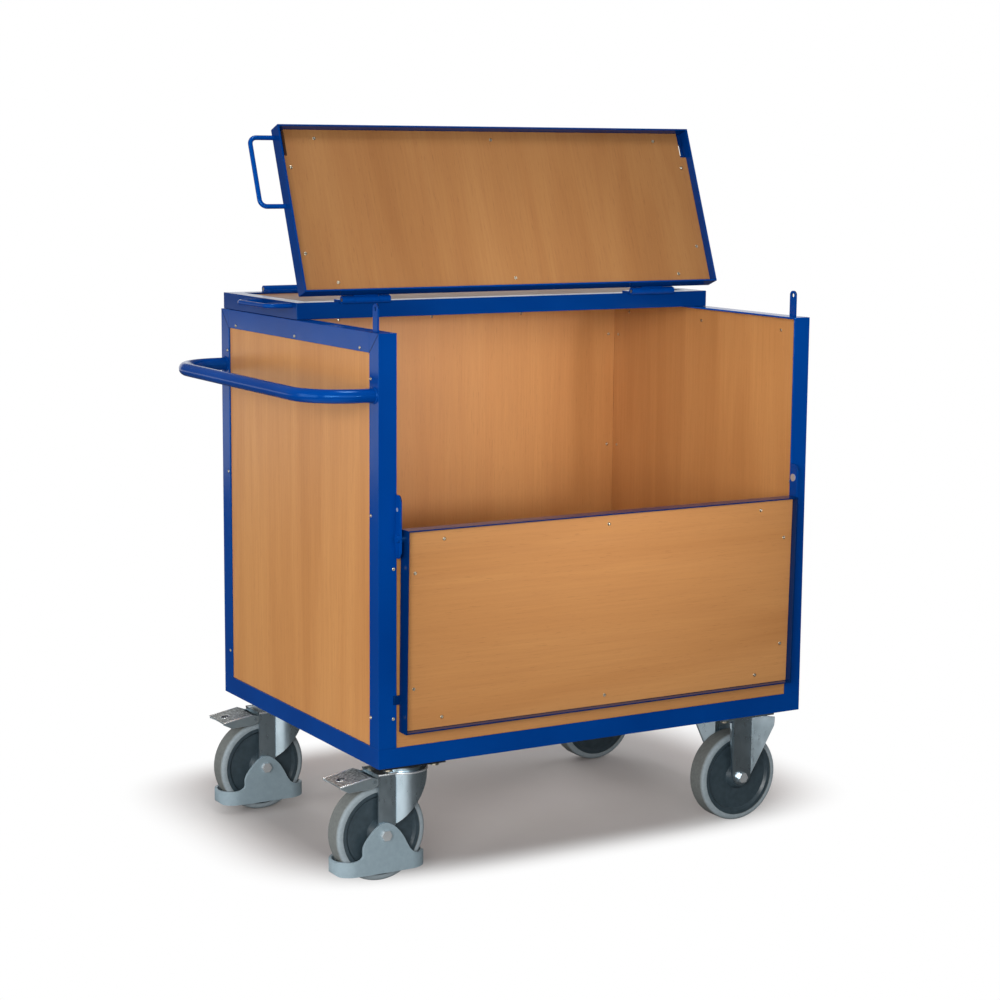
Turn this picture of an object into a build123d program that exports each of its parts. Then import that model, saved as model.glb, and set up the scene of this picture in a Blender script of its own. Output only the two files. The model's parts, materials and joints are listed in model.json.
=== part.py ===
from build123d import *
import os
from math import cos, radians, sin, sqrt

# Trolley box, in millimetres
body_length = 1040
body_width = 760
body_height = 865
angle_leg = 40
angle_t = 4
panel_t = 12
floor_t = 15
panel_fit = 0.5
seat_gap = 0.3

# Lid halves, their hinges and bow handles
lid_inset = 5
lid_rear_inset = 3
lid_front_reach = 1
lid_rim = 35
lid_t = 4
lid_split = 9
lid_open = 111.1
hinge_r = 8
hinge_pin_r = 4
hinge_rise = 4
hinge_length = 112
hinge_inset = 155
hinge_play = 0.4
pin_play = 0.05
leaf_t = 4
leaf_reach = 36
blade_drop = 69
bow_r = 5
bow_reach = 55
bow_span = 150
bow_bend = 15
bow_up = 28
bow_front_in = 20
bow_rear_in = 26

# Padlock lugs and the slots they pass through
lug_t = 4
lug_width = 20
lug_height = 55
lug_in = 10
lug_back = 40
lug_eye_r = 5
lug_eye_down = 10
slot_play_x = 1
slot_play_y = 3
notch_width = 16
notch_length = 62

# Front flap, brackets and pivots
flap_rim = 30
flap_t = 3
flap_side_gap = 6
flap_end_gap = 9
flap_foot_gap = 32
flap_top = 18
flap_back = 7
flap_lean = 1.2
pivot_out = 14
pivot_r = 5
pivot_boss_r = 9
pivot_head_r = 8
pivot_head_t = 5
bracket_t = 4
bracket_reach = 22
bracket_below = 40
bracket_above = 86
bracket_round = 12
catch_r = 8
catch_stem_r = 4
catch_proud = 1.5
catch_up = 57
catch_out = 9
tab_drop = 326
tab_height = 18
tab_reach = 8
tab_t = 4
mid_leg = 20
mid_t = 3
mid_gap = 4

# Push handle
handle_r = 14
handle_wall = 2.5
handle_reach = 128
handle_bend = 100
handle_up = 744
handle_in = 20

# Screws
screw_head_r = 3.6
screw_head_t = 1.6
screw_r = 2
screw_end_t = 1
screw_play = 0.1
screw_edge = 7
screw_low_up = 60
screw_mid_up = 42
screw_high_down = 90
screw_front_down = 40
screw_side_in = 80
lid_screw_in = 24
lid_screw_corner = 88

# Castors
wheel_r = 100
tyre_width = 50
tyre_t = 13
tyre_round = 9
hub_rim_t = 8
hub_side_in = 2
hub_dish = 5
core_r = 22
core_slope = 8
bearing_r = 14
axle_r = 6
castor_height = 244
pad_t = 8
pad_inset = 26
plate_length = 140
plate_width = 110
plate_t = 6
plate_bolt_x = 105
plate_bolt_y = 80
plate_bolt_r = 5
plate_bolt_head_r = 8.5
plate_bolt_head_t = 6
pad_length = 168
pad_width = 142
castor_trail = 60
swivel_in = 100
fixed_in = 112
castor_in_y = 89
fork_t = 4
fork_gap = 7
fork_web = 34
fork_foot = 13
crown_top = 225
crown_t = 8
cup_r = 50
cup_lip = 4
cup_sag = 6
cup_clear = 20
race_r = 40
race_gap = 0.6
king_r = 10
king_head_r = 17
king_head_t = 9
fixed_web = 50
wing_out = 38
wing_along = 34
fixed_foot = 23
axle_head_r = 11.5
axle_head_t = 8
guard_t = 6
guard_half = 103
guard_low = 21
guard_top = 52
guard_round = 10
bell_foot = 82
bell_waist = 50
bell_shoulder = 34
bell_neck = 3
bell_rise = 25
pedal_t = 3
pedal_tip = 160
pedal_slope = 10
pedal_root = 92
pedal_drop = 1
pivot_back = 83
pivot_high = 212
rivet_r = 4
skirt_low = 197
skirt_rise = 2
cheek_end = 8
cheek_up = 6
tip_lip = 2
pedal_nose = 20
pedal_hole_r = 8
rivet_wall = 3
horn_low = 7
horn_top = 6

# Levels above the floor
base_z = castor_height + pad_t
lid_floor = body_height + seat_gap
lid_z = lid_floor + lid_rim
axis_z = lid_z + hinge_rise

# Flap geometry above the underside of the base frame
pivot_up = (body_height - flap_end_gap + angle_leg + flap_foot_gap) / 2
flap_long = body_height - flap_end_gap - pivot_up
flap_half = body_length / 2 - angle_leg - flap_side_gap
pivot_y = -body_width / 2 - pivot_out
flap_front = flap_rim - flap_back
lean = radians(flap_lean)
mid_top = pivot_up - flap_top - mid_gap

# Half sizes of the box and the faces that panels lie against
half_l = body_length / 2
half_w = body_width / 2
skin_x = half_l - angle_t
skin_y = half_w - angle_t
inner_x = skin_x - panel_t
inner_y = skin_y - panel_t
edge_x = half_l - angle_leg
edge_y = half_w - angle_leg

# Lid halves, measured from the axis of the hinges between them
lid_half = half_l - lid_inset
lid_axis_y = -lid_split
front_depth = half_w + lid_front_reach + lid_axis_y - hinge_r
rear_depth = half_w - lid_rear_inset - lid_axis_y - hinge_r
rear_axis_y = half_w - lid_rear_inset + hinge_r
hinge_x = lid_half - hinge_inset
lid_top = -hinge_rise
lid_low = lid_top - lid_rim
open_turn = radians(-lid_open)

# The middle of the floor area is the origin
reach_left = half_l + handle_reach + handle_r
reach_right = half_l + screw_head_t
flap_reach = flap_front * cos(lean) + flap_top * sin(lean)
reach_front = -pivot_y + flap_reach
reach_rear = rear_axis_y + hinge_r
body_x = (reach_left - reach_right) / 2
body_y = (reach_front - reach_rear) / 2

# Frames that the pieces are drawn in
body_at = Plane(origin=(body_x, body_y, base_z))
rear_lid_at = Plane(origin=(body_x, body_y + lid_axis_y, base_z + axis_z))
front_lid_at = Plane(
    origin=(body_x, body_y + lid_axis_y, base_z + axis_z),
    x_dir=(1, 0, 0),
    z_dir=(0, -sin(open_turn), cos(open_turn)),
)
flap_at = Plane(
    origin=(body_x, body_y + pivot_y, base_z + pivot_up),
    x_dir=(1, 0, 0),
    z_dir=(0, -sin(lean), cos(lean)),
)
swivel_x = body_x - half_l + swivel_in
fixed_x = body_x + half_l - fixed_in
castor_y = half_w - castor_in_y

os.makedirs("parts", exist_ok=True)

turns = {"x": (0, 90, 0), "y": (90, 0, 0), "z": (0, 0, 0)}


def block(x, y, z, mode=Mode.ADD):
    """Box between three pairs of limits in the frame of the open part."""
    with Locations(((x[0] + x[1]) / 2, (y[0] + y[1]) / 2, (z[0] + z[1]) / 2)):
        Box(abs(x[1] - x[0]), abs(y[1] - y[0]), abs(z[1] - z[0]), mode=mode)


def rod(axis, at, span, radius, mode=Mode.ADD):
    """Round bar along one axis: its two other coordinates and its two ends."""
    middle = (span[0] + span[1]) / 2
    place = {
        "x": (middle, at[0], at[1]),
        "y": (at[0], middle, at[1]),
        "z": (at[0], at[1], middle),
    }
    with Locations(place[axis]):
        Cylinder(radius, abs(span[1] - span[0]), rotation=turns[axis], mode=mode)


def screw(axis, at, face, inward, grip):
    """Screw with its head on a face and its clinched end behind the grip."""
    back = face + inward * grip
    rod(axis, at, (face - inward * screw_head_t, face), screw_head_r)
    rod(axis, at, (face, back), screw_r)
    rod(axis, at, (back, back + inward * screw_end_t), screw_head_r)


def within(place, plane):
    """Plane of a piece's own frame, moved to where that frame stands."""
    return Plane(place * plane.location)


def save(piece, name):
    """Label a finished piece and write its file."""
    piece.part.label = name
    export_step(piece.part, f"parts/{name}.step")


# Places of the screws that hold the panels to the box frame
screw_low = angle_leg + screw_low_up
screw_mid = pivot_up + screw_mid_up
screw_high = body_height - screw_high_down
post_rows = (screw_low, screw_mid, screw_high)
front_rows = (screw_low, mid_top - screw_front_down)
rail_z = body_height - angle_leg + screw_edge
side_row = (screw_side_in - half_w, 0, half_w - screw_side_in)
rear_row = (-edge_x / 2, 0, edge_x / 2)
post_screw_y = edge_y + screw_edge
post_screw_x = edge_x + screw_edge
hole_r = screw_r + screw_play
grip = angle_t + panel_t

# Base frame with a bottom flange that carries the floor panel
with BuildPart(body_at) as base_frame:
    block((-half_l, half_l), (-half_w, half_w), (0, angle_leg))
    block((-skin_x, skin_x), (-skin_y, skin_y), (angle_t, angle_leg), Mode.SUBTRACT)
    block((-edge_x, edge_x), (-edge_y, edge_y), (0, angle_t), Mode.SUBTRACT)
save(base_frame, "base_frame")

# Pads under the corners, drilled for the castor bolts
pad_edge_x = half_l - pad_inset
pad_edge_y = half_w - pad_inset
with BuildPart(body_at) as castor_pads:
    for side_x, castor_x in ((-1, -half_l + swivel_in), (1, half_l - fixed_in)):
        for side_y in (-1, 1):
            pad_x = (side_x * pad_edge_x, side_x * (pad_edge_x - pad_length))
            pad_y = (side_y * pad_edge_y, side_y * (pad_edge_y - pad_width))
            block(pad_x, pad_y, (-pad_t, 0))
            for bolt_x in (-plate_bolt_x / 2, plate_bolt_x / 2):
                for bolt_y in (-plate_bolt_y / 2, plate_bolt_y / 2):
                    spot = (castor_x + bolt_x, side_y * castor_y + bolt_y)
                    rod("z", spot, (-pad_t, 0), plate_bolt_r + screw_play, Mode.SUBTRACT)
save(castor_pads, "castor_pads")

# Corner posts, each drilled for its panel screws
for front, side_y in (("front", -1), ("rear", 1)):
    for hand, side_x in (("left", -1), ("right", 1)):
        with BuildPart(body_at) as post:
            rise = (angle_leg, body_height)
            block((side_x * half_l, side_x * edge_x), (side_y * half_w, side_y * skin_y), rise)
            block((side_x * half_l, side_x * skin_x), (side_y * half_w, side_y * edge_y), rise)
            for row in post_rows:
                spot = (side_y * post_screw_y, row)
                rod("x", spot, (side_x * half_l, side_x * skin_x), hole_r, Mode.SUBTRACT)
            for row in front_rows if side_y < 0 else post_rows:
                spot = (side_x * post_screw_x, row)
                rod("y", spot, (side_y * half_w, side_y * skin_y), hole_r, Mode.SUBTRACT)
        save(post, f"post_{front}_{hand}")

# Top rails: two sides and the rear
with BuildPart(body_at) as top_frame:
    for side_x in (-1, 1):
        upright = (side_x * half_l, side_x * skin_x)
        block(upright, (-edge_y, edge_y), (body_height - angle_leg, body_height))
        ledge = (side_x * skin_x, side_x * edge_x)
        block(ledge, (-skin_y, skin_y), (body_height - angle_t, body_height))
        for row in side_row:
            rod("x", (row, rail_z), upright, hole_r, Mode.SUBTRACT)
    rear = (skin_y, half_w)
    block((-edge_x, edge_x), rear, (body_height - angle_leg, body_height))
    rear_ledge = (skin_y, edge_y)
    block((-edge_x, edge_x), rear_ledge, (body_height - angle_t, body_height))
    for row in rear_row:
        rod("y", (row, rail_z), rear, hole_r, Mode.SUBTRACT)
save(top_frame, "top_frame")

# Mid rail over the top edge of the lower front panel
with BuildPart(body_at) as front_mid_rail:
    block((-edge_x, edge_x), (-half_w, -skin_y), (mid_top - mid_leg, mid_top))
    block((-edge_x, edge_x), (-half_w, mid_leg - half_w), (mid_top - mid_t, mid_top))
save(front_mid_rail, "front_mid_rail")

# Push handle: one bent tube between the left posts
handle_y = half_w - handle_in
handle_path_at = Plane(origin=(body_x, body_y, base_z + handle_up))
handle_end_at = Plane(
    origin=(body_x - half_l, body_y - handle_y, base_z + handle_up),
    x_dir=(0, 1, 0),
    z_dir=(-1, 0, 0),
)
with BuildPart() as push_handle:
    with BuildLine(handle_path_at):
        FilletPolyline(
            (-half_l, -handle_y),
            (-half_l - handle_reach, -handle_y),
            (-half_l - handle_reach, handle_y),
            (-half_l, handle_y),
            radius=handle_bend,
        )
    with BuildSketch(handle_end_at):
        Circle(handle_r)
        Circle(handle_r - handle_wall, mode=Mode.SUBTRACT)
    sweep()
save(push_handle, "push_handle")

# Padlock lugs standing on the side top rails
lug_x = lid_half - lug_in
lug_y = lug_back - half_w
lug_top = body_height + lug_height
eye_z = lug_top - lug_eye_down
with BuildPart(body_at) as lock_lugs:
    for side_x in (-1, 1):
        plate = (side_x * (lug_x - lug_t / 2), side_x * (lug_x + lug_t / 2))
        sides = (lug_y - lug_width / 2, lug_y + lug_width / 2)
        block(plate, sides, (body_height, lug_top - lug_width / 2))
        rod("x", (lug_y, lug_top - lug_width / 2), plate, lug_width / 2)
        rod("x", (lug_y, eye_z), plate, lug_eye_r, Mode.SUBTRACT)
save(lock_lugs, "lock_lugs")

# Flap brackets on the front posts, bored for the pivots and the catches
bracket_low = pivot_up - bracket_below
bracket_high = pivot_up + bracket_above
bracket_front = -half_w - bracket_reach
catch_y = -half_w - catch_out
catch_z = pivot_up + catch_up
with BuildPart(body_at) as flap_brackets:
    for side_x in (-1, 1):
        plate = (side_x * edge_x, side_x * (edge_x + bracket_t))
        block(plate, (bracket_front, -half_w), (bracket_low, bracket_high))
        rod("x", (pivot_y, pivot_up), plate, pivot_r + pin_play, Mode.SUBTRACT)
        rod("x", (catch_y, catch_z), plate, catch_stem_r + pin_play, Mode.SUBTRACT)
    fillet(flap_brackets.edges().filter_by(Axis.X).group_by(Axis.Y)[0], bracket_round)
save(flap_brackets, "flap_brackets")

# Catches pressed into the brackets
with BuildPart(body_at) as flap_catches:
    for side_x in (-1, 1):
        face = side_x * edge_x
        rod("x", (catch_y, catch_z), (face - side_x * catch_proud, face), catch_r)
        rod("x", (catch_y, catch_z), (face, face + side_x * bracket_t), catch_stem_r)
save(flap_catches, "flap_catches")

# Pivot bolts through the brackets into the flap
with BuildPart(body_at) as flap_pivot_bolts:
    for side_x in (-1, 1):
        outer = side_x * (edge_x + bracket_t)
        tip = side_x * (flap_half - flap_t)
        rod("x", (pivot_y, pivot_up), (tip, outer), pivot_r)
        rod("x", (pivot_y, pivot_up), (outer, outer + side_x * pivot_head_t), pivot_head_r)
save(flap_pivot_bolts, "flap_pivot_bolts")

# Floor panel and wall panels
wall_top = body_height - angle_t - panel_fit
with BuildPart(body_at) as floor_panel:
    room_x = inner_x - panel_fit
    room_y = inner_y - panel_fit
    block((-room_x, room_x), (-room_y, room_y), (angle_t, angle_t + floor_t))
save(floor_panel, "floor_panel")

for hand, side_x in (("left", -1), ("right", 1)):
    with BuildPart(body_at) as side_panel:
        run = skin_y - panel_fit
        wall = (side_x * skin_x, side_x * inner_x)
        block(wall, (-run, run), (angle_t, wall_top))
        for side_y in (-1, 1):
            for row in post_rows:
                rod("x", (side_y * post_screw_y, row), wall, hole_r, Mode.SUBTRACT)
        for row in side_row:
            rod("x", (row, rail_z), wall, hole_r, Mode.SUBTRACT)
    save(side_panel, f"{hand}_panel")

with BuildPart(body_at) as rear_panel:
    wall = (skin_y, inner_y)
    block((panel_fit - inner_x, inner_x - panel_fit), wall, (angle_t, wall_top))
    for side_x in (-1, 1):
        for row in post_rows:
            rod("y", (side_x * post_screw_x, row), wall, hole_r, Mode.SUBTRACT)
    for row in rear_row:
        rod("y", (row, rail_z), wall, hole_r, Mode.SUBTRACT)
save(rear_panel, "rear_panel")

with BuildPart(body_at) as lower_front_panel:
    wall = (-skin_y, -inner_y)
    run = inner_x - panel_fit
    block((-run, run), wall, (angle_t, mid_top - mid_t - panel_fit))
    for side_x in (-1, 1):
        for row in front_rows:
            rod("y", (side_x * post_screw_x, row), wall, hole_r, Mode.SUBTRACT)
save(lower_front_panel, "lower_front_panel")

# Screws through the frame into the wall panels
with BuildPart(body_at) as panel_screws:
    for side in (-1, 1):
        for end in (-1, 1):
            for row in post_rows:
                screw("x", (end * post_screw_y, row), side * half_l, -side, grip)
        for row in side_row:
            screw("x", (row, rail_z), side * half_l, -side, grip)
        for row in post_rows:
            screw("y", (side * post_screw_x, row), half_w, -1, grip)
        for row in front_rows:
            screw("y", (side * post_screw_x, row), -half_w, 1, grip)
    for row in rear_row:
        screw("y", (row, rail_z), half_w, -1, grip)
save(panel_screws, "panel_screws")

# Lid halves, drawn from the hinge edge outwards: near and far edges along Y
halves = {
    "rear": (rear_lid_at, hinge_r, hinge_r + rear_depth),
    "front": (front_lid_at, -hinge_r, -hinge_r - front_depth),
}
lid_wall_x = lid_half - lid_t
panel_high = lid_top - lid_t
panel_low = panel_high - panel_t
for name, (lid_at, near, far) in halves.items():
    out = 1 if far > near else -1
    wall_near = near + out * lid_t
    wall_far = far - out * lid_t
    screw_near = near + out * lid_screw_in
    screw_far = far - out * lid_screw_in
    row_x = lid_half - lid_screw_corner
    spots = [(x, y) for x in (-row_x, 0, row_x) for y in (screw_near, screw_far)]
    end_x = lid_half - lid_screw_in
    corner_near = near + out * lid_screw_corner
    corner_far = far - out * lid_screw_corner
    spots += [(x, y) for x in (-end_x, end_x) for y in (corner_near, corner_far)]
    window_x = lid_half - lid_rim
    slot_y = lug_y - lid_axis_y

    with BuildPart(lid_at) as lid_frame:
        block((-lid_half, lid_half), (near, far), (lid_low, lid_top))
        hollow = (lid_low, panel_high)
        block((-lid_wall_x, lid_wall_x), (wall_near, wall_far), hollow, Mode.SUBTRACT)
        window = (near + out * lid_rim, far - out * lid_rim)
        block((-window_x, window_x), window, (panel_high, lid_top), Mode.SUBTRACT)
        for spot in spots:
            rod("z", spot, (panel_high, lid_top), hole_r, Mode.SUBTRACT)
        if name == "front":
            slot_in = lug_x - lug_t / 2 - slot_play_x
            slot_out = lug_x + lug_t / 2 + slot_play_x
            slot_reach = lug_width / 2 + slot_play_y
            slot = (slot_y - slot_reach, slot_y + slot_reach)
            for side_x in (-1, 1):
                across = (side_x * slot_in, side_x * slot_out)
                block(across, slot, (panel_high, lid_top), Mode.SUBTRACT)
    save(lid_frame, f"{name}_lid_frame")

    with BuildPart(lid_at) as lid_panel:
        run_x = lid_wall_x - panel_fit
        run_y = (wall_near + out * panel_fit, wall_far - out * panel_fit)
        block((-run_x, run_x), run_y, (panel_low, panel_high))
        for spot in spots:
            rod("z", spot, (panel_low, panel_high), hole_r, Mode.SUBTRACT)
        if name == "front":
            notch = (far, far - out * notch_length)
            for side_x in (-1, 1):
                across = (side_x * lid_half, side_x * (lid_wall_x - notch_width))
                block(across, notch, (panel_low, panel_high), Mode.SUBTRACT)
    save(lid_panel, f"{name}_lid_panel")

    with BuildPart(lid_at) as lid_screws:
        for spot in spots:
            rod("z", spot, (panel_low - screw_head_t, panel_low), screw_head_r)
            rod("z", spot, (panel_low, lid_top), screw_r)
    save(lid_screws, f"{name}_lid_screws")

    bow_z = lid_low + bow_up
    bow_to = far - out * bow_front_in if name == "front" else near + bow_rear_in
    bow_end = bow_to - out * bow_span if name == "front" else bow_to + bow_span
    bow_path_at = within(lid_at.location, Plane.XY.offset(bow_z))
    bow_foot = Plane(origin=(-lid_half, bow_to, bow_z), x_dir=(0, 1, 0), z_dir=(-1, 0, 0))
    bow_foot_at = within(lid_at.location, bow_foot)
    with BuildPart() as bow_handle:
        with BuildLine(bow_path_at):
            FilletPolyline(
                (-lid_half, bow_to),
                (-lid_half - bow_reach, bow_to),
                (-lid_half - bow_reach, bow_end),
                (-lid_half, bow_end),
                radius=bow_bend,
            )
        with BuildSketch(bow_foot_at):
            Circle(bow_r)
        sweep()
    save(bow_handle, f"{name}_lid_handle")

# Hinge leaves: the outer knuckles on one leaf, the middle knuckle on the other
half_hinge = hinge_length / 2
knuckle = hinge_length / 4
outer_knuckles = ((-half_hinge, -knuckle), (knuckle, half_hinge))
middle_knuckle = ((hinge_play - knuckle, knuckle - hinge_play),)
leaf_z = (lid_top, lid_top + leaf_t)
bore_r = hinge_pin_r + pin_play
leaf_near = hinge_r + hinge_play
rear_step = rear_axis_y - lid_axis_y
leaf_sets = {
    "rear_lid_hinge_leaves": (
        rear_lid_at,
        ((0, 1, outer_knuckles), (rear_step, -1, middle_knuckle)),
    ),
    "front_lid_hinge_leaves": (front_lid_at, ((0, -1, middle_knuckle),)),
}
for name, (leaf_at, edges) in leaf_sets.items():
    with BuildPart(leaf_at) as leaves:
        for axis_y, out, knuckles in edges:
            for side_x in (-1, 1):
                middle = side_x * hinge_x
                flat = (axis_y + out * leaf_near, axis_y + out * leaf_reach)
                block((middle - half_hinge, middle + half_hinge), flat, leaf_z)
                for span in knuckles:
                    barrel = (middle + span[0], middle + span[1])
                    block(barrel, (axis_y, flat[0]), leaf_z)
                    rod("x", (axis_y, 0), barrel, hinge_r)
                    rod("x", (axis_y, 0), barrel, bore_r, Mode.SUBTRACT)
    save(leaves, name)

# Fixed leaves: blades down the rear top rail
blade_near = half_w - lid_axis_y
with BuildPart(rear_lid_at) as rear_hinge_leaves:
    for side_x in (-1, 1):
        middle = side_x * hinge_x
        across = (middle - half_hinge, middle + half_hinge)
        blade = (blade_near, blade_near + leaf_t)
        block(across, blade, (-blade_drop, -hinge_r - hinge_play))
        for span in outer_knuckles:
            barrel = (middle + span[0], middle + span[1])
            block(barrel, blade, (-hinge_r - hinge_play, 0))
            rod("x", (rear_step, 0), barrel, hinge_r)
            rod("x", (rear_step, 0), barrel, bore_r, Mode.SUBTRACT)
save(rear_hinge_leaves, "rear_hinge_leaves")

# Hinge pins
for name, axis_y in (("mid_hinge_pins", 0), ("rear_hinge_pins", rear_step)):
    with BuildPart(rear_lid_at) as hinge_pins:
        for side_x in (-1, 1):
            middle = side_x * hinge_x
            rod("x", (axis_y, 0), (middle - half_hinge, middle + half_hinge), hinge_pin_r)
    save(hinge_pins, name)

# Front flap, drawn hanging from its pivots
flap_low = -flap_long
flap_in_x = flap_half - flap_t
flap_skin = flap_back - flap_t
flap_inside = flap_skin - panel_t
boss_x = edge_x - seat_gap
tab_z = (-tab_drop - tab_height / 2, -tab_drop + tab_height / 2)
tab_back = (pivot_out - seat_gap - (tab_drop + tab_height) * sin(lean)) / cos(lean)
flap_row_x = flap_half - lid_screw_corner
flap_end_x = flap_half - lid_screw_in
flap_rows = (flap_top - lid_screw_in, flap_low + lid_screw_in)
flap_corners = (flap_top - lid_screw_corner, flap_low + lid_screw_corner)
flap_spots = [(x, z) for x in (-flap_row_x, 0, flap_row_x) for z in flap_rows]
flap_spots += [(x, z) for x in (-flap_end_x, flap_end_x) for z in flap_corners]

with BuildPart(flap_at) as flap_frame:
    block((-flap_half, flap_half), (-flap_front, flap_back), (flap_low, flap_top))
    hollow = (flap_low + flap_t, flap_top - flap_t)
    block((-flap_in_x, flap_in_x), (-flap_front, flap_skin), hollow, Mode.SUBTRACT)
    window_x = flap_half - flap_rim
    window_z = (flap_low + flap_rim, flap_top - flap_rim)
    block((-window_x, window_x), (flap_skin, flap_back), window_z, Mode.SUBTRACT)
    for side_x in (-1, 1):
        rod("x", (0, 0), (side_x * flap_half, side_x * boss_x), pivot_boss_r)
        bore = (side_x * flap_in_x, side_x * boss_x)
        rod("x", (0, 0), bore, pivot_r + pin_play, Mode.SUBTRACT)
        tab = (side_x * flap_half, side_x * (edge_x + tab_reach))
        block(tab, (tab_back - tab_t, tab_back), tab_z)
    for spot in flap_spots:
        rod("y", spot, (flap_skin, flap_back), hole_r, Mode.SUBTRACT)
save(flap_frame, "flap_frame")

with BuildPart(flap_at) as flap_panel:
    run_x = flap_in_x - panel_fit
    run_z = (flap_low + flap_t + panel_fit, flap_top - flap_t - panel_fit)
    block((-run_x, run_x), (flap_inside, flap_skin), run_z)
    for spot in flap_spots:
        rod("y", spot, (flap_inside, flap_skin), hole_r, Mode.SUBTRACT)
save(flap_panel, "flap_panel")

with BuildPart(flap_at) as flap_screws:
    for spot in flap_spots:
        rod("y", spot, (flap_inside - screw_head_t, flap_inside), screw_head_r)
        rod("y", spot, (flap_inside, flap_back), screw_r)
save(flap_screws, "flap_screws")

# Castor levels and widths shared by all four
plate_low = castor_height - plate_t
fork_in = tyre_width / 2 + fork_gap
fork_out = fork_in + fork_t
crown_low = crown_top - crown_t
race_split = (crown_top + plate_low) / 2
tyre_in = wheel_r - tyre_t
bolt_spots = [
    (x, y)
    for x in (-plate_bolt_x / 2, plate_bolt_x / 2)
    for y in (-plate_bolt_y / 2, plate_bolt_y / 2)
]

# Castor bolts screwed into the pads from below
with BuildPart() as castor_bolts:
    for castor_x in (swivel_x, fixed_x):
        for side_y in (-1, 1):
            for bolt_x, bolt_y in bolt_spots:
                spot = (castor_x + bolt_x, body_y + side_y * castor_y + bolt_y)
                head = (plate_low - plate_bolt_head_t, plate_low)
                rod("z", spot, (plate_low, base_z), plate_bolt_r)
                with Locations((spot[0], spot[1], sum(head) / 2)):
                    Cylinder(plate_bolt_head_r, plate_bolt_head_t)
save(castor_bolts, "castor_bolts")

# Swivel heads: plate, upper race and kingpin
with BuildPart() as swivel_heads:
    for side_y in (-1, 1):
        middle = (swivel_x, body_y + side_y * castor_y)
        along = (middle[0] - plate_length / 2, middle[0] + plate_length / 2)
        across = (middle[1] - plate_width / 2, middle[1] + plate_width / 2)
        block(along, across, (plate_low, castor_height))
        rod("z", middle, (race_split + race_gap / 2, plate_low), race_r)
        rod("z", middle, (crown_low - king_head_t, race_split + race_gap), king_r)
        head = (crown_low - king_head_t - race_gap, crown_low - race_gap)
        rod("z", middle, head, king_head_r)
        for bolt_x, bolt_y in bolt_spots:
            spot = (middle[0] + bolt_x, middle[1] + bolt_y)
            rod("z", spot, (plate_low, castor_height), plate_bolt_r + screw_play, Mode.SUBTRACT)
save(swivel_heads, "swivel_heads")

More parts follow.
